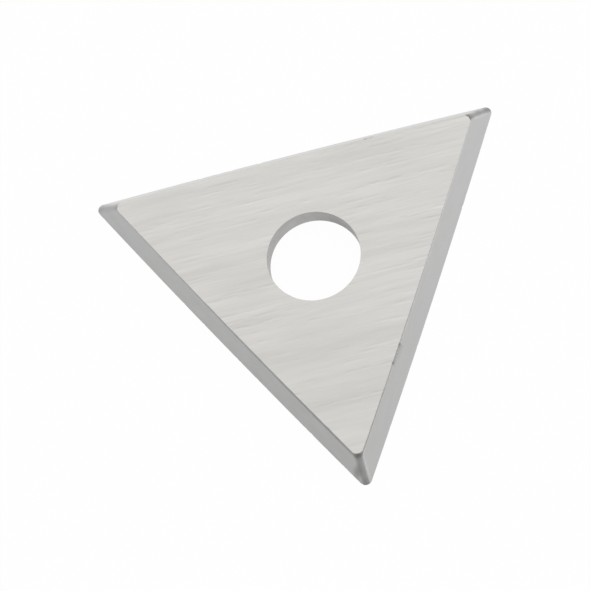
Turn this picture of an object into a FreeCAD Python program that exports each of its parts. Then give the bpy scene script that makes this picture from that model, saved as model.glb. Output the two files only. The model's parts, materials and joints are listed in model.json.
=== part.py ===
import FreeCAD, Part
import math
import os
from FreeCAD import Rotation, Vector

# Triangular scraper blade.
# A loose cutting blade for a pull scraper, ground from one plate of hard cemented carbide.
# From above it is a triangle with three equal sides, small rounded corners and a plain round
# hole in the middle for the scraper's clamping screw. Every side leans in from the larger face
# to the smaller one, so the outline of the larger face is the cutting edge, all the way round.
# Each side bows out by about a tenth of a millimetre, which keeps the sharp corners clear of
# the work, so that they scratch no lines into it.
#
# The larger face lies on Z = 0 with the hole's axis on the origin, and +Z runs through the hole
# towards the smaller face. One cutting edge lies along X, on the +Y side, and one corner points
# along -Y.

# Driving dimensions, in millimetres and degrees
overall_width = 25.0      # along one side, over its two rounded corners
thickness = 1.4           # between the two ground faces
bore_diameter = 5.7       # clears the scraper's screw
relief_angle = 30.0       # how far each side leans in from square to the faces
corner_radius = 0.38      # round of each corner, seen from above, the same on both faces
edge_crown = 0.11         # how far the middle of a side bows out past its two ends

# Facts of the form: the sides are equal, and a side is turned from the next by the same angle
side_count = 3
turn_per_side = 360.0 / side_count
half_turn = math.radians(turn_per_side / 2)

# Sizes that follow from the driving ones
relief_inset = thickness * math.tan(math.radians(relief_angle))
half_chord = overall_width / 2 - corner_radius
side_radius = corner_radius + (half_chord ** 2 + edge_crown ** 2) / (2 * edge_crown)
side_distance = half_chord / math.tan(half_turn) + corner_radius + edge_crown
side_centre = Vector(0, side_distance - side_radius, 0)


def turned(point, degrees):
    """A point turned about the hole's axis, counter-clockwise seen from above."""
    return Rotation(Vector(0, 0, 1), degrees).multVec(point)


def corner_centre(inset):
    """Centre of the corner round at the right-hand end of the +Y side.

    The inset draws the whole outline in. The centre lies on the corner's bisector, at the place
    where the round touches the side's long arc from inside.
    """
    bisector = Vector(math.sin(half_turn), math.cos(half_turn), 0)
    reach = side_radius - inset - corner_radius
    along = side_centre.dot(bisector)
    across = side_centre.cross(bisector).Length
    return bisector * (along + math.sqrt(reach ** 2 - across ** 2))


def outline(inset, height):
    """Closed outline of the blade at one height: long bowed sides joined by small rounds."""
    round_centre = corner_centre(inset)
    side_end = round_centre + (round_centre - side_centre).normalize() * corner_radius
    side_start = Vector(-side_end.x, side_end.y, 0)
    side_middle = side_centre + Vector(0, side_radius - inset, 0)
    corner_tip = round_centre * (1 + corner_radius / round_centre.Length)
    lift = Vector(0, 0, height)
    edges = []
    for number in range(side_count):
        turn = -number * turn_per_side
        start, middle, end, tip = [
            turned(point, turn) + lift for point in (side_start, side_middle, side_end, corner_tip)
        ]
        next_start = turned(side_start, turn - turn_per_side) + lift
        edges.append(Part.Arc(start, middle, end).toShape())
        edges.append(Part.Arc(end, tip, next_start).toShape())
    return Part.Wire(edges)


def ground_plate():
    """The plate with its slanted sides: straight lines join the two outlines, as a wheel grinds."""
    larger_face = outline(0, 0)
    smaller_face = outline(relief_inset, thickness)
    return Part.makeLoft([larger_face, smaller_face], True, True)


def screw_hole():
    """The round hole, cut by a rod that stands out past both faces by the plate's thickness."""
    foot = Vector(0, 0, -thickness)
    return Part.makeCylinder(bore_diameter / 2, 3 * thickness, foot)


blade = ground_plate().cut(screw_hole())

os.makedirs("parts", exist_ok=True)
blade.exportStep("parts/blade.step")
box = blade.optimalBoundingBox(False, False)
print("blade: solids", len(blade.Solids), "faces", len(blade.Faces), "valid", blade.isValid())
print("size", round(box.XLength, 3), round(box.YLength, 3), round(box.ZLength, 3))
print("volume", round(blade.Volume, 3), "side radius", round(side_radius, 1))
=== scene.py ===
# %% [markdown]
# # A triangular scraper blade, ground from hard carbide
#
# The object is one loose blade for a pull scraper: a small plate of cemented carbide, 25 mm
# along each side and 1.4 mm thick, with a round hole for the clamping screw. Its looks come from
# how it was made. The two faces were ground flat, which leaves fine parallel lines. The three
# sides were ground at a slant, so each is a bright smooth bevel that ends in the cutting edge.
# The hole was pressed and sintered but never ground, so its wall is darker and duller.
#
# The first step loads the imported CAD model. It gives the true size and place of the blade, and
# everything below is measured from it, in metres.

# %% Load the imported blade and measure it
import json
import math

import bmesh
import bpy
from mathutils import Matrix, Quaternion, Vector


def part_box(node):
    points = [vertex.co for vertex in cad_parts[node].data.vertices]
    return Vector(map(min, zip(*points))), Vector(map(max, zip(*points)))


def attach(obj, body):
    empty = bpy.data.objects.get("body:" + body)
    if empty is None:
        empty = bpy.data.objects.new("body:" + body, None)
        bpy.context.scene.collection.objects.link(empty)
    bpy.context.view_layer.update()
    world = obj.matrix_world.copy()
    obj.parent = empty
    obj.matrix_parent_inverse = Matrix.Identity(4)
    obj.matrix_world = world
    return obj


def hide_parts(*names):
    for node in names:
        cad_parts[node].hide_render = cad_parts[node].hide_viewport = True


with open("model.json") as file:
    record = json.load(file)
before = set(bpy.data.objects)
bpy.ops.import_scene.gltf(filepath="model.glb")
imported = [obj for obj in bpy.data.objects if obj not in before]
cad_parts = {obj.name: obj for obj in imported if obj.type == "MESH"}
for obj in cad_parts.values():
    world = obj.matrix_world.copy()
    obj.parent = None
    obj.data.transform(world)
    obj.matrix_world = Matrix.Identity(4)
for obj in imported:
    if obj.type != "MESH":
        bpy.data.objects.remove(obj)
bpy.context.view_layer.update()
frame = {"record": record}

mm = 0.001
lowest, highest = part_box("blade")
half_width = highest.x
thickness = highest.z - lowest.z
mounts = {mount["name"]: mount for mount in frame["record"]["mounts"]}
hole_radius = mounts["screw_bore"]["dims"]["r_mm"] * mm
print("blade width", round(2 * half_width / mm, 3), "mm, thickness", round(thickness / mm, 3))
print("hole radius", round(hole_radius / mm, 3), "mm")

# %% [markdown]
# ## A few helpers
#
# Node trees are wired in the same way throughout, so one small function adds a node, sets its
# options and fills its sockets. What it is given for a socket may be a plain value, another
# node's socket, or another node, which then stands for its first output. Others put an object
# into the scene, open a geometry tree with named inputs and start a material. Colours are written
# as they look on a screen, and one function turns them into the linear values Blender needs.

# %% Helpers for nodes, objects and colours
def fill_sockets(node, fills):
    """Gives each named or numbered socket of a node its plain value or its link."""
    for key, fill in fills.items():
        if isinstance(fill, bpy.types.Node):
            fill = next(output for output in fill.outputs if output.enabled)
        if isinstance(fill, bpy.types.NodeSocket):
            node.id_data.links.new(fill, node.inputs[key])
        else:
            node.inputs[key].default_value = fill


def add_node(tree, kind, fills=None, **options):
    """Adds one node, sets its options, and fills its sockets."""
    node = tree.nodes.new(kind)
    for option, choice in options.items():
        setattr(node, option, choice)
    fill_sockets(node, fills or {})
    return node


def add_object(name, data):
    """Puts a mesh, a lamp or a camera into the scene, under its own name."""
    thing = bpy.data.objects.new(name, data)
    bpy.context.scene.collection.objects.link(thing)
    return thing


def open_tree(name, inputs, outputs):
    """A new geometry node tree with these named sockets, and the node that gives its inputs."""
    tree = bpy.data.node_groups.new(name, "GeometryNodeTree")
    for direction, sockets in (("INPUT", inputs), ("OUTPUT", outputs)):
        for label, kind in sockets.items():
            tree.interface.new_socket(name=label, in_out=direction, socket_type="NodeSocket" + kind)
    return tree, tree.nodes.new("NodeGroupInput").outputs


def linear_colour(hex_colour):
    """The linear colour, with full opacity, of an sRGB colour such as #cfcdc9."""
    shares = [int(hex_colour[start:start + 2], 16) / 255 for start in (1, 3, 5)]
    return [
        share / 12.92 if share <= 0.04045 else ((share + 0.055) / 1.055) ** 2.4
        for share in shares
    ] + [1.0]


def new_finish(name):
    """A new material that holds one plain shader, with its tree and that shader."""
    finish = bpy.data.materials.new(name)
    finish.use_nodes = True
    tree = finish.node_tree
    tree.nodes.clear()
    shader = add_node(tree, "ShaderNodeBsdfPrincipled")
    add_node(tree, "ShaderNodeOutputMaterial", {"Surface": shader})
    return finish, tree, shader


print("mid grey is", round(linear_colour("#808080")[0], 3), "in linear light")

# %% [markdown]
# ## The camera
#
# The photograph was taken from nearly overhead with a long lens, so the sides of the triangle
# run together only a little. A camera can be placed by its position and three angles, but such
# numbers say little. Here it looks at a point near the middle of the blade, from a distance and
# two angles, and is then rolled about its line of sight, as a hand would tilt it.

# %% Place the camera
aim_point = Vector((-1.665, -1.905, 0.7)) * mm
camera_distance = 163.99 * mm
camera_height_angle = math.radians(67.58)
camera_side_angle = math.radians(10.39)
camera_roll = math.radians(-23.75)
sensor_width = 36.0
lens_length = 166.32

from_aim = Vector((
    math.sin(camera_side_angle) * math.cos(camera_height_angle),
    -math.cos(camera_side_angle) * math.cos(camera_height_angle),
    math.sin(camera_height_angle),
))
camera_data = bpy.data.cameras.new("camera")
camera_data.sensor_width = sensor_width
camera_data.lens = lens_length
camera_data.clip_start = 10 * mm
camera_data.clip_end = 10.0
camera = add_object("camera", camera_data)
camera.location = aim_point + from_aim * camera_distance
camera.rotation_mode = "QUATERNION"
level_turn = (-from_aim).to_track_quat("-Z", "Y")
camera.rotation_quaternion = level_turn @ Quaternion((0, 0, 1), camera_roll)
bpy.context.scene.camera = camera
print("camera", [round(value / mm, 2) for value in camera.location], "mm from the hole's axis")

# %% [markdown]
# ## The ground faces
#
# The material is cemented carbide: tungsten carbide grains in a little cobalt. It is a warm
# light grey metal, darker than polished steel. The faces were ground on a wheel that ran
# straight across the plate, so every mark on them runs along X. Most of the surface is calm,
# with faint even lines. Here and there a coarser grain of the wheel has cut a row of short dark
# scratches, a tenth of a millimetre wide, and beside each lies a bright ridge that it pushed up.
#
# Noise stretched along X draws all of this. A very long noise picks the rows, a short one
# breaks each row into dashes, and their product is the scratch. The same pair, moved sideways
# by the width of a scratch, is the ridge. A slow noise keeps some patches calmer than others.
# The lines change the colour a little, the roughness more, and push the surface up and down by
# a thousandth of a millimetre or two.

# %% Finish of the ground faces
ground_finish, ground_tree, ground_shader = new_finish("ground_cemented_carbide")
place = add_node(ground_tree, "ShaderNodeTexCoord").outputs["Object"]

# Sizes of the marks in millimetres. The shift moves a noise sideways, from scratch to ridge.
ridge_shift = 0.13
line_sizes = {
    "even lines": {"length": 2.4, "width": 0.13},
    "broad lines": {"length": 5.0, "width": 0.4},
    "soft bands": {"length": 14.0, "width": 1.1},
    "patches": {"length": 4.5, "width": 2.0},
    "scratch rows": {"length": 20.0, "width": 0.2},
    "scratch dashes": {"length": 1.1, "width": 0.15},
    "ridge rows": {"length": 20.0, "width": 0.2, "shift": ridge_shift},
    "ridge dashes": {"length": 1.1, "width": 0.15, "shift": ridge_shift},
}
lines = {}
for name, size in line_sizes.items():
    line_place = add_node(ground_tree, "ShaderNodeMapping", {
        "Vector": place,
        "Location": (0, size.get("shift", 0.0) / size["width"], 0),
        "Scale": [1 / (share * mm) for share in (size["length"], size["width"], size["width"])],
    })
    lines[name] = add_node(ground_tree, "ShaderNodeTexNoise", {
        "Vector": line_place, "Scale": 1.0, "Detail": 2.0, "Roughness": 0.55,
    }, label=name)

patch_strength = add_node(ground_tree, "ShaderNodeMapRange", {
    "Value": lines["patches"], "From Min": 0.38, "From Max": 0.62, "To Min": 0.65,
})
cuts = {}
for kind in ("scratch", "ridge"):
    row_share = add_node(ground_tree, "ShaderNodeMapRange", {
        "Value": lines[kind + " rows"], "From Min": 0.52, "From Max": 0.62,
    })
    dash_share = add_node(ground_tree, "ShaderNodeMapRange", {
        "Value": lines[kind + " dashes"], "From Min": 0.46, "From Max": 0.6,
    })
    dashed_row = add_node(ground_tree, "ShaderNodeMath", {
        0: row_share, 1: dash_share,
    }, operation="MULTIPLY")
    cuts[kind] = add_node(ground_tree, "ShaderNodeMath", {
        0: dashed_row, 1: patch_strength,
    }, operation="MULTIPLY", label=kind)

line_height = 0.0
for name, strength in (("even lines", 0.3), ("broad lines", 0.42), ("soft bands", 0.5)):
    swing = add_node(ground_tree, "ShaderNodeMath", {0: lines[name], 1: 0.5}, operation="SUBTRACT")
    line_height = add_node(ground_tree, "ShaderNodeMath", {
        0: swing, 1: strength, 2: line_height,
    }, operation="MULTIPLY_ADD", label="With " + name)
for kind, strength in (("scratch", -0.23), ("ridge", 0.18)):
    line_height = add_node(ground_tree, "ShaderNodeMath", {
        0: cuts[kind], 1: strength, 2: line_height,
    }, operation="MULTIPLY_ADD", label="With " + kind)

deepest, highest_ridge = -0.4, 0.4
line_tone = add_node(ground_tree, "ShaderNodeMapRange", {
    "Value": line_height, "From Min": deepest, "From Max": highest_ridge,
})
ground_colour = add_node(ground_tree, "ShaderNodeMix", {
    0: line_tone, 6: linear_colour("#c6c4c0"), 7: linear_colour("#d7d5d1"),
}, data_type="RGBA")
ground_roughness = add_node(ground_tree, "ShaderNodeMapRange", {
    "Value": line_height, "From Min": deepest, "From Max": highest_ridge,
    "To Min": 0.46, "To Max": 0.28,
})
ground_bump = add_node(ground_tree, "ShaderNodeBump", {
    "Height": line_height, "Strength": 0.3, "Distance": 0.004 * mm,
})
fill_sockets(ground_shader, {
    "Metallic": 1.0, "Base Color": ground_colour, "Roughness": ground_roughness,
    "Normal": ground_bump,
})
print("ground faces:", len(ground_tree.nodes), "nodes")

# %% [markdown]
# ## The bevels
#
# The slanted sides are the same carbide, ground last and finer, with the wheel running along
# the edge. Their lines are too thin to see one by one, so they show as faint long streaks and a
# smoother sheen, a little more neutral in colour than the faces. The streaks have to follow each
# side round the blade, so this finish doesn't read the place in space. It reads the map named
# sweep, which the blade's mesh gets below: millimetres along the edge and millimetres across it.
#
# The mesh brings two more amounts, each from 0 to 1. The first is 1 on the back side and paints a
# highlight there: that bevel is made a little lighter and smoother, as a painted highlight. The
# second tells where the blade has worked or a crumb has broken out, and it also paints shade on
# the bevels towards the front corner and beside its ridge. There the carbide is darker, and where
# it is broken it is also dull, because a broken surface scatters the light.

# %% Finish of the bevels
bevel_finish, bevel_tree, bevel_shader = new_finish("fine_ground_cemented_carbide")
sweep_place = add_node(bevel_tree, "ShaderNodeUVMap", uv_map="sweep")
sheen_sizes = {
    "streaks": {"length": 5.0, "width": 0.1, "detail": 3.0, "roughness": 0.6},
    "clouds": {"length": 1.6, "width": 0.6, "detail": 2.0, "roughness": 0.5},
}
sheen = {}
for name, size in sheen_sizes.items():
    sheen_place = add_node(bevel_tree, "ShaderNodeMapping", {
        "Vector": sweep_place, "Scale": (1 / size["length"], 1 / size["width"], 1.0),
    })
    sheen[name] = add_node(bevel_tree, "ShaderNodeTexNoise", {
        "Vector": sheen_place, "Scale": 1.0, "Detail": size["detail"],
        "Roughness": size["roughness"],
    }, label=name)

# Noise seldom leaves the middle of its range, so only that part is spread over a finish.
noise_low, noise_high = 0.3, 0.7
cloud_share = 0.6
bevel_mix = add_node(bevel_tree, "ShaderNodeMix", {
    0: cloud_share, 2: sheen["streaks"], 3: sheen["clouds"],
})
bevel_tone = add_node(bevel_tree, "ShaderNodeMapRange", {
    "Value": bevel_mix, "From Min": noise_low, "From Max": noise_high,
})
ground_bevel = add_node(bevel_tree, "ShaderNodeMix", {
    0: bevel_tone, 6: linear_colour("#babab9"), 7: linear_colour("#bebebe"),
}, data_type="RGBA")
# Painted highlight: the back side's bevel is mixed towards a lighter grey, and made smoother.
honing = add_node(bevel_tree, "ShaderNodeAttribute", attribute_name="honing").outputs["Fac"]
bevel_colour = add_node(bevel_tree, "ShaderNodeMix", {
    0: honing, 6: ground_bevel, 7: linear_colour("#cbcbc9"),
}, data_type="RGBA")
# Darker and duller where the mesh says so: wear at the nicks, and painted shade towards the front
# corner.
wear = add_node(bevel_tree, "ShaderNodeAttribute", attribute_name="edge_wear").outputs["Fac"]
worn_and_shaded_colour = add_node(bevel_tree, "ShaderNodeMix", {
    0: wear, 6: bevel_colour, 7: linear_colour("#7d7c7a"),
}, data_type="RGBA")
roughness = add_node(bevel_tree, "ShaderNodeMapRange", {
    "Value": bevel_mix, "From Min": noise_low, "From Max": noise_high,
    "To Min": 0.43, "To Max": 0.36,
})
for amount, change in ((honing, -0.1), (wear, 0.2)):
    roughness = add_node(bevel_tree, "ShaderNodeMath", {
        0: amount, 1: change, 2: roughness,
    }, operation="MULTIPLY_ADD")
bevel_bump = add_node(bevel_tree, "ShaderNodeBump", {
    "Height": sheen["streaks"], "Strength": 0.12, "Distance": 0.002 * mm,
})
fill_sockets(bevel_shader, {
    "Metallic": 1.0, "Base Color": worn_and_shaded_colour, "Roughness": roughness, "Normal": bevel_bump,
})
print("bevels:", len(bevel_tree.nodes), "nodes")

# %% [markdown]
# ## The wall of the hole
#
# The hole got its size in the press and in the furnace and was never ground. A sintered skin is
# darker than ground carbide and spreads the light more, with a fine even grain and a few soft
# cloudy marks. Plain noise at two sizes draws it.

# %% Finish of the hole's wall
hole_finish, hole_tree, hole_shader = new_finish("sintered_cemented_carbide")
hole_place = add_node(hole_tree, "ShaderNodeTexCoord").outputs["Object"]
skin = {}
for name, size in {"grain": 0.09, "clouds": 1.0}.items():
    skin_place = add_node(hole_tree, "ShaderNodeVectorMath", {
        0: hole_place, "Scale": 1 / (size * mm),
    }, operation="SCALE")
    skin[name] = add_node(hole_tree, "ShaderNodeTexNoise", {
        "Vector": skin_place, "Scale": 1.0, "Detail": 2.0, "Roughness": 0.6,
    }, label=name)
skin_mix = add_node(hole_tree, "ShaderNodeMix", {0: 0.5, 2: skin["grain"], 3: skin["clouds"]})
skin_tone = add_node(hole_tree, "ShaderNodeMapRange", {
    "Value": skin_mix, "From Min": noise_low, "From Max": noise_high,
})
skin_colour = add_node(hole_tree, "ShaderNodeMix", {
    0: skin_tone, 6: linear_colour("#a7a6a4"), 7: linear_colour("#b6b5b3"),
}, data_type="RGBA")
skin_roughness = add_node(hole_tree, "ShaderNodeMapRange", {
    "Value": skin["grain"], "From Min": noise_low, "From Max": noise_high,
    "To Min": 0.42, "To Max": 0.55,
})
skin_bump = add_node(hole_tree, "ShaderNodeBump", {
    "Height": skin["grain"], "Strength": 0.3, "Distance": 0.004 * mm,
})
fill_sockets(hole_shader, {
    "Metallic": 1.0, "Base Color": skin_colour, "Roughness": skin_roughness,
    "Normal": skin_bump,
})
print("hole wall:", len(hole_tree.nodes), "nodes")

# %% [markdown]
# ## The blade's section
#
# Cut the blade from the hole out to the edge, and the cut shows a slim four-sided shape: up the
# wall of the hole, out across the smaller face, down the slanted bevel to the cutting edge, and
# back under the larger face. The whole blade is this section, swept once round. So the section
# is drawn first, as a short row of points. Its four edges aren't knife-sharp: each is broken by
# a tiny round, because a real edge always catches a thin line of light or shade. One formula
# makes all four rounds, from the directions that the surface faces before and after the edge.
#
# A point doesn't hold a place in space, as the outline is still to come. It holds what the sweep
# needs: how far it reaches from the hole to the outline, how far it is drawn in, its height, how
# much it takes of each kind of wear, and how much painted shade it takes near the front corner.
# Close before and after every edge the flat stretches get a point of their own. These guard
# points keep the shine of the flats from bending early.

# %% Draw the section
corner_radius = 0.38 * mm
edge_crown = 0.11 * mm
side_count = 3
turn_per_side = 2 * math.pi / side_count
half_chord = half_width - corner_radius
side_radius = corner_radius + (half_chord ** 2 + edge_crown ** 2) / (2 * edge_crown)
side_distance = half_chord / math.tan(turn_per_side / 2) + corner_radius + edge_crown
side_centre = side_distance - side_radius

relief_angle = math.radians(30.0)
relief_inset = thickness * math.tan(relief_angle)
rim_break = 0.008 * mm
face_edge_break = 0.045 * mm
cutting_edge_round = 0.016 * mm
hold_share = 0.35                # of an edge's radius, from its round to the point beside it
guard = 0.3 * mm                 # from an edge to its guard point
GROUND, BEVEL, WALL = 0, 1, 2

# The edges in order: the hole's lower and upper rim, the face's edge and the cutting edge.
rim = {"reach": 0, "radius": rim_break, "steps": 2, "growth": 0, "chip": 0, "notch": 0,
       "wear": 0, "dull": 0, "part": WALL}
# The worked edges, and the bevel's flat below them, are painted darker towards the front corner:
# painted shade.
worked_edge = {"reach": 1, "steps": 6, "notch": 1, "wear": 0.28, "dull": 1, "part": BEVEL}
section_edges = [
    {**rim, "drawn_in": 0, "height": 0, "facing": (180, 270)},
    {**rim, "drawn_in": relief_inset, "height": thickness, "facing": (270, 360)},
    {**worked_edge, "drawn_in": relief_inset, "height": thickness, "facing": (0, 60),
     "radius": face_edge_break, "growth": 1, "chip": 0},
    {**worked_edge, "drawn_in": 0, "height": 0, "facing": (60, 180),
     "radius": cutting_edge_round, "growth": 0, "chip": 1},
]
# The flats after each: the hole's wall, the smaller face, the bevel and the larger face.
section_flats = [
    {"rows": 3, "wear": 0, "dull": 0, "part": WALL},
    {"rows": 6, "wear": 0, "dull": 0, "part": GROUND},
    {"rows": 7, "wear": 0.12, "dull": 0.6, "part": BEVEL},
    {"rows": 5, "wear": 0, "dull": 0, "part": GROUND},
]


def edge_rows(edge, flat_before, flat_after):
    """The section's points round one edge: a tiny round with a point before and after it."""
    before, after = [math.radians(angle) for angle in edge["facing"]]
    middle = (before + after) / 2
    pull_back = 1 / math.cos((after - before) / 2)
    centre = Vector((-math.sin(middle) * pull_back, -math.cos(middle) * pull_back))
    places = [centre + Vector((math.sin(before), math.cos(before)))
              - hold_share * Vector((math.cos(before), -math.sin(before)))]
    for step in range(edge["steps"] + 1):
        facing = before + (after - before) * step / edge["steps"]
        places.append(centre + Vector((math.sin(facing), math.cos(facing))))
    places.append(places[-1] + hold_share * Vector((math.cos(after), -math.sin(after))))
    carried = ("reach", "drawn_in", "height", "growth", "chip", "notch", "wear", "dull", "part")
    rows = []
    for offset in places:
        row = {name: edge[name] for name in carried}
        row.update({"out": offset.x * edge["radius"], "up": offset.y * edge["radius"]})
        rows.append(row)
    for row, flat in ((rows[0], flat_before), (rows[-1], flat_after)):
        row.update({name: flat[name] for name in ("wear", "dull", "part")})
    rows[-2]["part"] = flat_after["part"]
    return rows


def section_place(row):
    """Where a point of the section lies at the middle of a side, outwards and upwards."""
    outwards = hole_radius + row["reach"] * (side_distance - row["drawn_in"] - hole_radius)
    return Vector((outwards + row.get("out", 0), row["height"] + row.get("up", 0)))


def flat_rows(edge, next_edge, flat):
    """Points on the flat stretch between two edges, evenly spaced from guard to guard."""
    guard_share = guard / (section_place(next_edge) - section_place(edge)).length
    rows = []
    for number in range(flat["rows"]):
        share = guard_share + (1 - 2 * guard_share) * number / (flat["rows"] - 1)
        row = {
            name: edge[name] + (next_edge[name] - edge[name]) * share
            for name in ("reach", "drawn_in", "height", "growth")
        }
        row.update({name: flat[name] for name in ("wear", "dull", "part")})
        row.update({"out": 0, "up": 0, "chip": 0, "notch": 0})
        rows.append(row)
    return rows


section_rows = []
for number, edge in enumerate(section_edges):
    next_edge = section_edges[(number + 1) % len(section_edges)]
    section_rows += edge_rows(edge, section_flats[number - 1], section_flats[number])
    section_rows += flat_rows(edge, next_edge, section_flats[number])
section_rows.append(dict(section_rows[0]))

across = 0.0
for number, row in enumerate(section_rows):
    if number > 0:
        across += (section_place(row) - section_place(section_rows[number - 1])).length
    row["across"] = across / mm

section = bpy.data.meshes.new("blade_section")
section.from_pydata([(number * mm, 0, 0) for number in range(len(section_rows))], [], [])
for name in section_rows[0]:
    attribute = section.attributes.new(name, "FLOAT", "POINT")
    attribute.data.foreach_set("value", [float(row[name]) for row in section_rows])
print("section:", len(section_rows), "points")

# %% [markdown]
# ## The rule of the outline
#
# Seen from above, the blade is a triangle with three equal sides. Each side is a very flat arc,
# bowed out by a tenth of a millimetre so that the corners don't scratch the work, and each
# corner is a small round of 0.38 mm. Both are arcs of circles, and a point on a circle is its
# centre plus its radius in some direction. So one node group can answer what the sweep asks:
# where is the outline at column so-and-so, when it is drawn in by so much?
# The columns go round clockwise. A third of them belongs to one side and the corner after it,
# and that third is turned by 120 degrees for the next side.

# %% Node group that finds a point of the outline
outline_sockets = {
    "Side radius": "Float", "Side centre": "Float", "Corner radius": "Float",
    "Side steps": "Int", "Corner steps": "Int",
}
outline_tree, given = open_tree(
    "point_on_the_outline",
    {"Column": "Float", "Drawn in": "Float", **outline_sockets},
    {"Point": "Vector", "Along": "Float"},
)

third_steps = add_node(outline_tree, "ShaderNodeMath", {
    0: given["Side steps"], 1: given["Corner steps"],
}, operation="ADD")
third_share = add_node(outline_tree, "ShaderNodeMath", {
    0: given["Column"], 1: third_steps,
}, operation="DIVIDE")
rounding_guard = 0.000001
third_guarded = add_node(outline_tree, "ShaderNodeMath", {
    0: third_share, 1: rounding_guard,
}, operation="ADD")
third = add_node(outline_tree, "ShaderNodeMath", {0: third_guarded}, operation="FLOOR")
passed = add_node(outline_tree, "ShaderNodeMath", {0: third, 1: third_steps}, operation="MULTIPLY")
step = add_node(outline_tree, "ShaderNodeMath", {0: given["Column"], 1: passed}, operation="SUBTRACT")

# The centre of the corner's round lies on the corner's bisector, where the round just touches
# the long arc of the side from inside.
bisector_cos = math.cos(turn_per_side / 2)
bisector_sin = math.sin(turn_per_side / 2)
arc_now = add_node(outline_tree, "ShaderNodeMath", {
    0: given["Side radius"], 1: given["Drawn in"],
}, operation="SUBTRACT", label="Radius of the drawn-in side")
reach = add_node(outline_tree, "ShaderNodeMath", {
    0: arc_now, 1: given["Corner radius"],
}, operation="SUBTRACT")
reach_squared = add_node(outline_tree, "ShaderNodeMath", {0: reach, 1: reach}, operation="MULTIPLY")
centre_along, centre_across = [
    add_node(outline_tree, "ShaderNodeMath", {
        0: given["Side centre"], 1: share,
    }, operation="MULTIPLY") for share in (bisector_cos, bisector_sin)
]
across_squared = add_node(outline_tree, "ShaderNodeMath", {
    0: centre_across, 1: centre_across,
}, operation="MULTIPLY")
along_squared = add_node(outline_tree, "ShaderNodeMath", {
    0: reach_squared, 1: across_squared,
}, operation="SUBTRACT")
along_root = add_node(outline_tree, "ShaderNodeMath", {0: along_squared}, operation="SQRT")
corner_distance = add_node(outline_tree, "ShaderNodeMath", {
    0: centre_along, 1: along_root,
}, operation="ADD", label="From the hole's axis to the corner's centre")
corner_x, corner_y = [
    add_node(outline_tree, "ShaderNodeMath", {
        0: corner_distance, 1: share,
    }, operation="MULTIPLY") for share in (bisector_sin, bisector_cos)
]

# The side's arc spans this angle to each side of its middle, and the corner takes up the rest.
rise = add_node(outline_tree, "ShaderNodeMath", {
    0: corner_y, 1: given["Side centre"],
}, operation="SUBTRACT")
half_angle = add_node(outline_tree, "ShaderNodeMath", {0: corner_x, 1: rise}, operation="ARCTAN2")
start_angle = add_node(outline_tree, "ShaderNodeMath", {0: half_angle, 1: -1.0}, operation="MULTIPLY")
corner_end_angle = add_node(outline_tree, "ShaderNodeMath", {
    0: turn_per_side, 1: half_angle,
}, operation="SUBTRACT")
side_angle = add_node(outline_tree, "ShaderNodeMapRange", {
    "Value": step, "From Min": 0.0, "From Max": given["Side steps"],
    "To Min": start_angle, "To Max": half_angle,
})
corner_angle = add_node(outline_tree, "ShaderNodeMapRange", {
    "Value": step, "From Min": given["Side steps"], "From Max": third_steps,
    "To Min": half_angle, "To Max": corner_end_angle,
})
on_corner = add_node(outline_tree, "FunctionNodeCompare", {
    0: step, 1: given["Side steps"],
}, data_type="FLOAT", operation="GREATER_THAN")
facing = add_node(outline_tree, "GeometryNodeSwitch", {
    0: on_corner, 1: side_angle, 2: corner_angle,
}, input_type="FLOAT")
radius = add_node(outline_tree, "GeometryNodeSwitch", {
    0: on_corner, 1: arc_now, 2: given["Corner radius"],
}, input_type="FLOAT")
side_middle = add_node(outline_tree, "ShaderNodeCombineXYZ", {"Y": given["Side centre"]})
corner_middle = add_node(outline_tree, "ShaderNodeCombineXYZ", {"X": corner_x, "Y": corner_y})
centre = add_node(outline_tree, "GeometryNodeSwitch", {
    0: on_corner, 1: side_middle, 2: corner_middle,
}, input_type="VECTOR")

facing_x, facing_y = [
    add_node(outline_tree, "ShaderNodeMath", {0: facing}, operation=wave)
    for wave in ("SINE", "COSINE")
]
direction = add_node(outline_tree, "ShaderNodeCombineXYZ", {"X": facing_x, "Y": facing_y})
arm = add_node(outline_tree, "ShaderNodeVectorMath", {
    0: direction, "Scale": radius,
}, operation="SCALE")
first_third_point = add_node(outline_tree, "ShaderNodeVectorMath", {
    0: centre, 1: arm,
}, operation="ADD")
turn = add_node(outline_tree, "ShaderNodeMath", {0: third, 1: -turn_per_side}, operation="MULTIPLY")
outline_point = add_node(outline_tree, "ShaderNodeVectorRotate", {
    "Vector": first_third_point, "Angle": turn,
}, rotation_type="Z_AXIS")

# The way along the edge, in millimetres, is the place along this side plus a whole side's
# length for every side before it.
side_place = add_node(outline_tree, "ShaderNodeSeparateXYZ", {0: first_third_point})
along_here = add_node(outline_tree, "ShaderNodeMath", {
    0: side_place.outputs["X"], 1: 1 / mm,
}, operation="MULTIPLY")
along_all = add_node(outline_tree, "ShaderNodeMath", {
    0: third, 1: 2 * half_width / mm, 2: along_here,
}, operation="MULTIPLY_ADD")
add_node(outline_tree, "NodeGroupOutput", {"Point": outline_point, "Along": along_all})
print("outline: side radius", round(side_radius / mm, 1), "mm, middle of a side",
      round(side_distance / mm, 3), "mm from the hole's axis")
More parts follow.
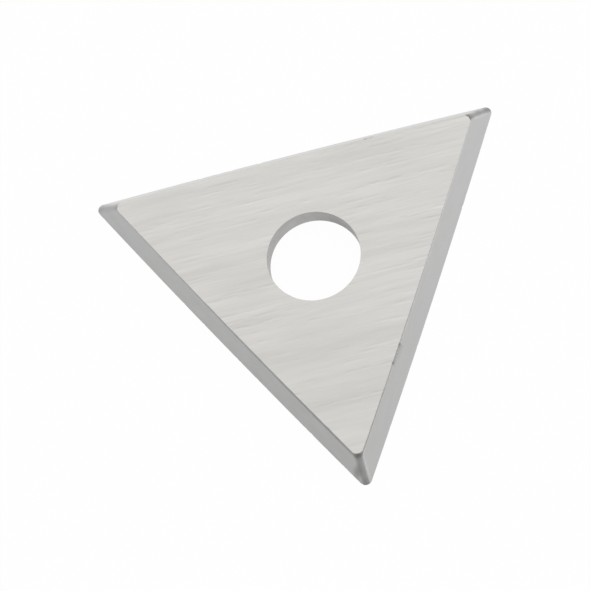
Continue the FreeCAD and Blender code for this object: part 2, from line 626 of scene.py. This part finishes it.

# %% [markdown]
# ## The sweep
#
# A flat grid becomes the blade. Its columns go round the outline and its rows go along the
# section, so every grid point knows its column and its row, and can be moved to its place. A
# row of the hole goes on a circle, a row of the outline asks the group above, and the rows of
# the faces lie in between. The last column and row fall on the first, where they are merged, so
# the mesh closes on itself. It could also be modelled as a block with its edges bevelled, but
# then the hole would leave slivers in the mesh, and the breaks could not vary along an edge.
#
# Real edges are not even. The break between a bevel and the face is wider here and narrower
# there. It grows towards the front corner, which has worked most, and the bevels get a hair
# narrower there too. The cutting edge has a few tiny chips. Noise with a fixed seed draws both,
# read at the place on the outline, so each spot has its own. The larger nicks, the darker tips
# and a painted shade beside the front ridge are no accident of noise: they come from a list of
# places, further below.

# %% Node tree that sweeps the section round the outline
sweep_tree, given = open_tree(
    "sweep_section_round_outline",
    {"Section": "Geometry", **outline_sockets, "Hole radius": "Float",
     "Unevenness": "Float", "Chip depth": "Float", "Front corner": "Vector", "Front corner reach": "Float",
     "Worn growth": "Float", "Narrowing": "Float", "Back highlight from": "Float", "Back highlight to": "Float",
     "Worn and shaded places": "Object", "Seed": "Float", "Ground finish": "Material",
     "Bevel finish": "Material", "Wall finish": "Material"},
    {"Blade": "Geometry"},
)
third_columns = add_node(sweep_tree, "ShaderNodeMath", {
    0: given["Side steps"], 1: given["Corner steps"],
}, operation="ADD")
columns = add_node(sweep_tree, "ShaderNodeMath", {
    0: third_columns, 1: float(side_count),
}, operation="MULTIPLY")
column_points = add_node(sweep_tree, "ShaderNodeMath", {0: columns, 1: 1.0}, operation="ADD")
row_points = add_node(sweep_tree, "GeometryNodeAttributeDomainSize", {
    "Geometry": given["Section"],
}, component="MESH").outputs["Point Count"]
rows = add_node(sweep_tree, "ShaderNodeMath", {0: row_points, 1: 1.0}, operation="SUBTRACT")
grid = add_node(sweep_tree, "GeometryNodeMeshGrid", {
    "Size X": columns, "Size Y": rows, "Vertices X": column_points, "Vertices Y": row_points,
})
grid_place = add_node(sweep_tree, "ShaderNodeSeparateXYZ", {
    0: add_node(sweep_tree, "GeometryNodeInputPosition"),
})
column_here = add_node(sweep_tree, "ShaderNodeMath", {
    0: columns, 1: 0.5, 2: grid_place.outputs["X"],
}, operation="MULTIPLY_ADD")
column = add_node(sweep_tree, "ShaderNodeMath", {0: column_here}, operation="ROUND", label="Column")
row_here = add_node(sweep_tree, "ShaderNodeMath", {
    0: rows, 1: 0.5, 2: grid_place.outputs["Y"],
}, operation="MULTIPLY_ADD")
row_nudge = 0.1
row_nudged = add_node(sweep_tree, "ShaderNodeMath", {0: row_here, 1: row_nudge}, operation="ADD")
row = add_node(sweep_tree, "ShaderNodeMath", {0: row_nudged}, operation="FLOOR", label="Row")

here = {}
for name in section_rows[0]:
    section_value = add_node(sweep_tree, "GeometryNodeInputNamedAttribute", {"Name": name})
    here[name] = add_node(sweep_tree, "GeometryNodeSampleIndex", {
        "Geometry": given["Section"], "Value": section_value, "Index": row,
    })

outline_shape = {name: given[name] for name in outline_sockets}
sharp_point = add_node(sweep_tree, "GeometryNodeGroup", {
    "Column": column, **outline_shape,
}, node_tree=outline_tree)

# Both noises are read in millimetres, and these are the lengths of their bumps.
uneven_length = 0.8
chip_length = 0.3
noise_place = add_node(sweep_tree, "ShaderNodeVectorMath", {
    0: sharp_point.outputs["Point"], "Scale": 1 / mm,
}, operation="SCALE")
uneven_noise = add_node(sweep_tree, "ShaderNodeTexNoise", {
    "Vector": noise_place, "W": given["Seed"], "Scale": 1 / uneven_length,
    "Detail": 3.0, "Roughness": 0.6,
}, noise_dimensions="4D")
uneven_swing = add_node(sweep_tree, "ShaderNodeMapRange", {
    "Value": uneven_noise, "From Min": 0.25, "From Max": 0.75, "To Min": -1.0, "To Max": 1.0,
})
seed_step = 7.0
chip_seed = add_node(sweep_tree, "ShaderNodeMath", {
    0: given["Seed"], 1: seed_step,
}, operation="ADD")
chip_noise = add_node(sweep_tree, "ShaderNodeTexNoise", {
    "Vector": noise_place, "W": chip_seed, "Scale": 1 / chip_length,
    "Detail": 2.0, "Roughness": 0.5,
}, noise_dimensions="4D")
chip_size = add_node(sweep_tree, "ShaderNodeMapRange", {
    "Value": chip_noise, "From Min": 0.6, "From Max": 0.75, "To Max": given["Chip depth"],
})

from_corner = add_node(sweep_tree, "ShaderNodeVectorMath", {
    0: sharp_point.outputs["Point"], 1: given["Front corner"],
}, operation="DISTANCE")
growth_share = add_node(sweep_tree, "ShaderNodeMapRange", {
    "Value": from_corner, "From Min": given["Front corner reach"], "From Max": 0.0,
}, interpolation_type="SMOOTHSTEP")
growth = add_node(sweep_tree, "ShaderNodeMath", {
    0: growth_share, 1: given["Worn growth"],
}, operation="MULTIPLY")
uneven_growth = add_node(sweep_tree, "ShaderNodeMath", {
    0: uneven_swing, 1: given["Unevenness"], 2: growth,
}, operation="MULTIPLY_ADD")
growth_here = add_node(sweep_tree, "ShaderNodeMath", {
    0: uneven_growth, 1: here["growth"], 2: 1.0,
}, operation="MULTIPLY_ADD", label="How much the break has grown")

out_here, up_here = [
    add_node(sweep_tree, "ShaderNodeMath", {0: here[name], 1: growth_here}, operation="MULTIPLY")
    for name in ("out", "up")
]
drawn_sharp = add_node(sweep_tree, "ShaderNodeMath", {
    0: here["drawn_in"], 1: out_here,
}, operation="SUBTRACT")
narrowing = add_node(sweep_tree, "ShaderNodeMath", {
    0: growth_share, 1: given["Narrowing"],
}, operation="MULTIPLY")
narrowed_here = add_node(sweep_tree, "ShaderNodeMath", {
    0: narrowing, 1: here["growth"],
}, operation="MULTIPLY")
drawn_narrower = add_node(sweep_tree, "ShaderNodeMath", {
    0: drawn_sharp, 1: narrowed_here,
}, operation="SUBTRACT")
drawn_in = add_node(sweep_tree, "ShaderNodeMath", {
    0: chip_size, 1: here["chip"], 2: drawn_narrower,
}, operation="MULTIPLY_ADD")
edge_point = add_node(sweep_tree, "GeometryNodeGroup", {
    "Column": column, "Drawn in": drawn_in, **outline_shape,
}, node_tree=outline_tree)

hole_column = add_node(sweep_tree, "ShaderNodeMath", {
    0: given["Side steps"], 1: -0.5, 2: column,
}, operation="MULTIPLY_ADD")
hole_share = add_node(sweep_tree, "ShaderNodeMath", {
    0: hole_column, 1: third_columns,
}, operation="DIVIDE")
hole_angle = add_node(sweep_tree, "ShaderNodeMath", {
    0: hole_share, 1: turn_per_side,
}, operation="MULTIPLY")
hole_x, hole_y = [
    add_node(sweep_tree, "ShaderNodeMath", {0: hole_angle}, operation=wave)
    for wave in ("SINE", "COSINE")
]
hole_direction = add_node(sweep_tree, "ShaderNodeCombineXYZ", {"X": hole_x, "Y": hole_y})
hole_reach = add_node(sweep_tree, "ShaderNodeMath", {
    0: given["Hole radius"], 1: out_here,
}, operation="ADD")
hole_point = add_node(sweep_tree, "ShaderNodeVectorMath", {
    0: hole_direction, "Scale": hole_reach,
}, operation="SCALE")

flat_point = add_node(sweep_tree, "ShaderNodeMix", {
    0: here["reach"], 4: hole_point, 5: edge_point,
}, data_type="VECTOR")

# Every point asks for the nearest listed place, and how far inside its reach it lies. There the
# edge is pulled in towards the middle of the blade, and the metal turns darker: dull at nicks and
# rubbed stretches, and painted shade beside the front ridge.
marks = add_node(sweep_tree, "GeometryNodeObjectInfo", {
    "Object": given["Worn and shaded places"],
}).outputs["Geometry"]
nearest = add_node(sweep_tree, "GeometryNodeSampleNearest", {
    "Geometry": marks, "Sample Position": flat_point,
}, domain="POINT")
mark = {}
for name in ("radius", "depth", "dullness"):
    mark_value = add_node(sweep_tree, "GeometryNodeInputNamedAttribute", {"Name": name})
    mark[name] = add_node(sweep_tree, "GeometryNodeSampleIndex", {
        "Geometry": marks, "Value": mark_value, "Index": nearest,
    })
mark_place = add_node(sweep_tree, "GeometryNodeSampleIndex", {
    "Geometry": marks, "Value": add_node(sweep_tree, "GeometryNodeInputPosition"),
    "Index": nearest,
}, data_type="FLOAT_VECTOR")
from_mark = add_node(sweep_tree, "ShaderNodeVectorMath", {
    0: flat_point, 1: mark_place,
}, operation="DISTANCE")
mark_share = add_node(sweep_tree, "ShaderNodeMapRange", {
    "Value": from_mark, "From Min": mark["radius"], "From Max": 0.0,
}, interpolation_type="SMOOTHSTEP")
mark_depth = add_node(sweep_tree, "ShaderNodeMath", {
    0: mark_share, 1: mark["depth"],
}, operation="MULTIPLY")
pull = add_node(sweep_tree, "ShaderNodeMath", {0: mark_depth, 1: here["notch"]}, operation="MULTIPLY")
outwards = add_node(sweep_tree, "ShaderNodeVectorMath", {0: flat_point}, operation="NORMALIZE")
pull_way = add_node(sweep_tree, "ShaderNodeVectorMath", {
    0: outwards, "Scale": pull,
}, operation="SCALE")
marked_point = add_node(sweep_tree, "ShaderNodeVectorMath", {
    0: flat_point, 1: pull_way,
}, operation="SUBTRACT")
height = add_node(sweep_tree, "ShaderNodeMath", {0: here["height"], 1: up_here}, operation="ADD")
lift = add_node(sweep_tree, "ShaderNodeCombineXYZ", {"Z": height})
blade_point = add_node(sweep_tree, "ShaderNodeVectorMath", {
    0: marked_point, 1: lift,
}, operation="ADD")

# The finish needs to know how dark each point is: painted shade that grows towards the front
# corner, and the marks from the list of places.
front_corner_shade = add_node(sweep_tree, "ShaderNodeMath", {
    0: growth_share, 1: here["wear"],
}, operation="MULTIPLY")
dull_here = add_node(sweep_tree, "ShaderNodeMath", {
    0: mark["dullness"], 1: here["dull"],
}, operation="MULTIPLY")
mark_wear_and_shade = add_node(sweep_tree, "ShaderNodeMath", {0: mark_share, 1: dull_here}, operation="MULTIPLY")
all_wear_and_shade = add_node(sweep_tree, "ShaderNodeMath", {0: front_corner_shade, 1: mark_wear_and_shade}, operation="MAXIMUM")

# The back side, where the outline reaches furthest along Y, gets the painted highlight.
outline_depth = add_node(sweep_tree, "ShaderNodeSeparateXYZ", {0: sharp_point.outputs["Point"]})
back_highlight_share = add_node(sweep_tree, "ShaderNodeMapRange", {
    "Value": outline_depth.outputs["Y"], "From Min": given["Back highlight from"],
    "From Max": given["Back highlight to"],
})

sweep_map = add_node(sweep_tree, "ShaderNodeCombineXYZ", {
    "X": sharp_point.outputs["Along"], "Y": here["across"],
})
labelled = grid
for name, value, data_type, domain in (
    ("sweep", sweep_map, "FLOAT2", "CORNER"), ("part", here["part"], "FLOAT", "FACE"),
    ("edge_wear", all_wear_and_shade, "FLOAT", "POINT"), ("honing", back_highlight_share, "FLOAT", "POINT"),
):
    labelled = add_node(sweep_tree, "GeometryNodeStoreNamedAttribute", {
        "Geometry": labelled, "Name": name, "Value": value,
    }, data_type=data_type, domain=domain)
moved = add_node(sweep_tree, "GeometryNodeSetPosition", {
    "Geometry": labelled, "Position": blade_point,
})
merge_distance = 0.0002 * mm
closed = add_node(sweep_tree, "GeometryNodeMergeByDistance", {
    "Geometry": moved, "Distance": merge_distance,
})
smooth = add_node(sweep_tree, "GeometryNodeSetShadeSmooth", {"Geometry": closed})
part_here = add_node(sweep_tree, "GeometryNodeInputNamedAttribute", {"Name": "part"})
finished = add_node(sweep_tree, "GeometryNodeSetMaterial", {
    "Geometry": smooth, "Material": given["Ground finish"],
})
for part, finish_name in ((BEVEL, "Bevel finish"), (WALL, "Wall finish")):
    is_part = add_node(sweep_tree, "FunctionNodeCompare", {
        0: part_here, 1: float(part), "Epsilon": 0.1,
    }, data_type="FLOAT", operation="EQUAL")
    finished = add_node(sweep_tree, "GeometryNodeSetMaterial", {
        "Geometry": finished, "Selection": is_part, "Material": given[finish_name],
    })
add_node(sweep_tree, "NodeGroupOutput", {"Blade": finished})
print("sweep:", len(sweep_tree.nodes), "nodes")

# %% [markdown]
# ## The blade
#
# Now the section gets the tree as a modifier, and the tree gets its sizes. The nicks, the broken
# face corners and the darker tips of the real blade, and a painted shade beside the front ridge,
# become a small cloud of points, each with its reach, its depth and how much it darkens the metal,
# which the tree looks up. A modifier's input is set by its identifier, because two inputs may
# share a name. The result is copied into a plain mesh, so nothing is left to compute, and every
# program can read it. The print-out tests what can't be seen: that the mesh is closed and, by a
# positive volume, that its faces point outwards.

# %% Sweep the section into the blade
side_steps = 560
corner_steps = 26
front_corner = Vector((0, -2 * side_distance, 0))

# Where the blade is nicked or darkened: the place in millimetres from the hole's axis, how far
# the mark reaches, how deep it is cut, and how much it darkens and dulls the metal. Beside the
# front ridge the darkening is painted shade.
worn_places = {
    "nick in the right edge": ((3.83, -6.88), 0.22, 0.05, 0.9),
    "its lower end": ((3.76, -7.05), 0.18, 0.04, 0.8),
    "rubbed edge, first part": ((3.65, -7.22), 0.22, 0.02, 0.6),
    "rubbed edge, second part": ((3.54, -7.39), 0.22, 0.02, 0.6),
    "rubbed edge, third part": ((3.42, -7.57), 0.22, 0.02, 0.6),
    "rubbed edge, last part": ((3.31, -7.74), 0.22, 0.02, 0.6),
    "second nick": ((3.20, -7.91), 0.2, 0.06, 0.9),
    "crumb out of the back edge": ((4.66, 6.72), 0.2, 0.05, 1.0),
    "end of that crumb": ((4.98, 6.72), 0.2, 0.04, 0.8),
    "step in the left edge": ((-1.42, -10.87), 0.25, 0.02, 0.1),
    "chip in the back cutting edge": ((-5.85, 7.44), 0.16, 0.03, 0.3),
    "second chip": ((-3.88, 7.46), 0.16, 0.03, 0.3),
    "third chip": ((-2.09, 7.47), 0.16, 0.03, 0.3),
    "broken face corner, right": ((11.04, 6.5), 0.24, 0.03, 1.0),
    "its other half": ((11.16, 6.32), 0.26, 0.03, 1.0),
    # Marks with no depth only darken the metal; the one beside the front ridge is painted shade.
    "darker ridge, right": ((11.65, 6.9), 0.35, 0.0, 0.5),
    "darker tip, right": ((12.3, 7.25), 0.6, 0.0, 0.8),
    "front face corner": ((-0.03, -12.86), 0.5, 0.01, 1.0),
    "painted shade beside the front ridge": ((-0.33, -13.6), 0.55, 0.0, 1.0),
    "front tip": ((0.0, -14.3), 0.5, 0.01, 0.9),
    "left face corner": ((-11.15, 6.4), 0.35, 0.0, 0.15),
    "darker tip, left": ((-12.2, 7.25), 0.6, 0.0, 0.35),
}
marks_mesh = bpy.data.meshes.new("worn_places")
marks_mesh.from_pydata([
    (entry[0][0] * mm, entry[0][1] * mm, 0) for entry in worn_places.values()
], [], [])
for number, (name, unit) in enumerate((("radius", mm), ("depth", mm), ("dullness", 1.0)), 1):
    attribute = marks_mesh.attributes.new(name, "FLOAT", "POINT")
    attribute.data.foreach_set("value", [entry[number] * unit for entry in worn_places.values()])
marks_object = add_object("worn_places", marks_mesh)

sweep_sizes = {
    "Side radius": side_radius, "Side centre": side_centre, "Corner radius": corner_radius,
    "Side steps": side_steps, "Corner steps": corner_steps, "Hole radius": hole_radius,
    "Unevenness": 0.6, "Chip depth": 0.025 * mm, "Front corner": front_corner,
    "Front corner reach": 28 * mm, "Worn growth": 2.2, "Narrowing": 0.08 * mm,
    "Back highlight from": side_distance - 0.3 * mm, "Back highlight to": side_distance - 0.1 * mm,
    "Worn and shaded places": marks_object, "Seed": 4.0,
    "Ground finish": ground_finish, "Bevel finish": bevel_finish, "Wall finish": hole_finish,
}
section_object = add_object("blade_section", section)
modifier = section_object.modifiers.new("sweep", "NODES")
modifier.node_group = sweep_tree
for item in sweep_tree.interface.items_tree:
    if item.in_out == "INPUT" and item.name in sweep_sizes:
        modifier[item.identifier] = sweep_sizes[item.name]

evaluated = section_object.evaluated_get(bpy.context.evaluated_depsgraph_get())
blade_mesh = bpy.data.meshes.new_from_object(evaluated)
blade_mesh.name = "carbide_blade"
blade_mesh.materials.pop(index=0)
blade = add_object("carbide_blade", blade_mesh)
bpy.data.objects.remove(section_object)
bpy.data.objects.remove(marks_object)


def report_mesh(piece):
    """Prints what a mesh measures, and whether it is closed and faces outwards."""
    shape = bmesh.new()
    shape.from_mesh(piece.data)
    open_edges = sum(not edge.is_manifold for edge in shape.edges)
    triangles = sum(len(face.verts) - 2 for face in shape.faces)
    volume = shape.calc_volume(signed=True)
    shape.free()
    print(piece.name, triangles, "triangles,", open_edges, "open edges, volume",
          round(volume / mm ** 3, 2), "cubic mm")


report_mesh(blade)
print("finishes:", {
    finish.name: sum(face.material_index == slot for face in blade.data.polygons)
    for slot, finish in enumerate(blade.data.materials)
})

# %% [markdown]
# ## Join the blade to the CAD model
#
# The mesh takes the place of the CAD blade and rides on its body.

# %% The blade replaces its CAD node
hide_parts("blade")
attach(blade, "root")
print(blade.name, "stands in for the CAD blade")

# %% [markdown]
# ## The floor
#
# The blade lies on plain white paper. A camera set to the bright metal sees such paper as almost
# even white. So for the camera, and for the metal's mirror images of it, the paper glows for
# most of its brightness, and for the small rest it is a matt surface under the lamps, with the
# soft shade that the blade throws.
#
# In two places the paper that the metal mirrors is really in shade, and there the mirrored glow
# is turned down. One lies inside the hole, at the foot of the wall on the right, where the plate
# stands between the paper and the lamps. The other is the paper to the left of the blade, on the
# side away from the brightest low lamp.

# %% Lay the floor
floor_size = 3.0
floor_gap = 0.005 * mm
floor_finish, floor_tree, floor_shader = new_finish("matt_white_paper")
fill_sockets(floor_shader, {
    "Base Color": linear_colour("#fcfcfb"), "Roughness": 1.0, "Specular IOR Level": 0.0,
})
white_share = 0.97
hole_glow = 0.55                 # of the mirrored glow is left in the darkest part of the hole
left_glow = 0.7                  # of it is left beside the left-hand bevel
shade_core, shade_reach = 0.4 * mm, 2.3 * mm
shade_side = math.radians(46.0)
shade_middle = Vector((math.cos(shade_side), math.sin(shade_side), 0)) * hole_radius
paper_place = add_node(floor_tree, "ShaderNodeTexCoord").outputs["Object"]
from_shade = add_node(floor_tree, "ShaderNodeVectorMath", {
    0: paper_place, 1: shade_middle,
}, operation="DISTANCE")
shaded_share = add_node(floor_tree, "ShaderNodeMapRange", {
    "Value": from_shade, "From Min": shade_core, "From Max": shade_reach, "To Min": hole_glow,
}, interpolation_type="SMOOTHSTEP")
left_way = Vector((-math.sin(turn_per_side), math.cos(turn_per_side), 0))
to_the_left = add_node(floor_tree, "ShaderNodeVectorMath", {
    0: paper_place, 1: left_way,
}, operation="DOT_PRODUCT")
left_share = add_node(floor_tree, "ShaderNodeMapRange", {
    "Value": to_the_left,
    "From Min": side_distance - 1.0 * mm, "From Max": side_distance - 0.2 * mm,
    "To Min": 1.0, "To Max": left_glow,
})
mirrored_share = add_node(floor_tree, "ShaderNodeMath", {
    0: shaded_share, 1: left_share,
}, operation="MULTIPLY")
ray = add_node(floor_tree, "ShaderNodeLightPath")
mirrored = add_node(floor_tree, "ShaderNodeMath", {
    0: ray.outputs["Is Glossy Ray"], 1: mirrored_share,
}, operation="MULTIPLY")
seen = add_node(floor_tree, "ShaderNodeMath", {
    0: ray.outputs["Is Camera Ray"], 1: mirrored,
}, operation="MAXIMUM")
glow_share = add_node(floor_tree, "ShaderNodeMath", {
    0: seen, 1: white_share,
}, operation="MULTIPLY")
glow = add_node(floor_tree, "ShaderNodeEmission")
floor_mix = add_node(floor_tree, "ShaderNodeMixShader", {
    0: glow_share, 1: floor_shader, 2: glow,
})
floor_output = floor_shader.outputs["BSDF"].links[0].to_node
fill_sockets(floor_output, {"Surface": floor_mix})
floor_corners = [(-1, -1), (1, -1), (1, 1), (-1, 1)]
floor_mesh = bpy.data.meshes.new("floor")
floor_mesh.from_pydata(
    [(x * floor_size / 2, y * floor_size / 2, -floor_gap) for x, y in floor_corners],
    [], [(0, 1, 2, 3)],
)
floor_mesh.materials.append(floor_finish)
floor = add_object("floor", floor_mesh)
print("floor", floor_size, "m wide")

# %% [markdown]
# ## Soft studio light
#
# Metal shows what stands round it, so lighting it means choosing what each surface sees. The
# face sees a large softbox above and behind the blade, which hangs level. The right-hand bevel
# sees the white paper and a wide softbox, low on the right. The left-hand bevel sees the paper
# too, and its edge catches a dim low softbox on the left. A fourth one stands behind, for the
# back bevel. The front corner sees only the room, so it stays darkest. The room is dark near
# the horizon, brighter higher up, and almost doubled straight in front, to lift that corner.
# Each lamp is given by the brightness of its surface, where 1 is white, and its power follows
# from that and its size.

# %% Set up the lamps and the room
def add_softbox(name, middle, width, height, brightness):
    """A rectangular lamp that faces the blade, with the given brightness of its surface."""
    lamp = bpy.data.lights.new(name, "AREA")
    lamp.shape = "RECTANGLE"
    lamp.size = width
    lamp.size_y = height
    lamp.energy = brightness * math.pi * width * height
    softbox = add_object(name, lamp)
    softbox.location = middle
    softbox.rotation_mode = "QUATERNION"
    softbox.rotation_quaternion = (-Vector(middle)).to_track_quat("-Z", "Y")
    return softbox


straight_down = Quaternion()
overhead = add_softbox("overhead_softbox", (0.05, 0.385, 0.32), 0.56, 0.74, 0.655)
overhead.rotation_quaternion = straight_down
add_softbox("right_softbox", (0.89, -0.19, 0.26), 1.6, 0.75, 1.35)
add_softbox("left_softbox", (-0.9, -0.12, 0.26), 1.5, 0.42, 0.6)
add_softbox("back_softbox", (-0.3, 1.2, 0.3), 1.3, 0.6, 0.8)

low_room, high_room = 0.12, 0.5
front_gain = 1.9
room = bpy.data.worlds.new("room")
room.use_nodes = True
room_tree = room.node_tree
room_direction = add_node(room_tree, "ShaderNodeSeparateXYZ", {
    0: add_node(room_tree, "ShaderNodeTexCoord").outputs["Generated"],
})
room_by_height = add_node(room_tree, "ShaderNodeMapRange", {
    "Value": room_direction.outputs["Z"], "From Min": 0.15, "From Max": 0.55,
    "To Min": low_room, "To Max": high_room,
})
room_by_depth = add_node(room_tree, "ShaderNodeMapRange", {
    "Value": room_direction.outputs["Y"], "From Min": -0.95, "From Max": -0.45,
    "To Min": front_gain, "To Max": 1.0,
})
room_brightness = add_node(room_tree, "ShaderNodeMath", {
    0: room_by_height, 1: room_by_depth,
}, operation="MULTIPLY")
fill_sockets(room_tree.nodes["Background"], {
    "Color": linear_colour("#ffffff"), "Strength": room_brightness,
})
bpy.context.scene.world = room
bpy.context.scene.view_settings.view_transform = "Standard"
print("lamps:", [light.name for light in bpy.data.lights])
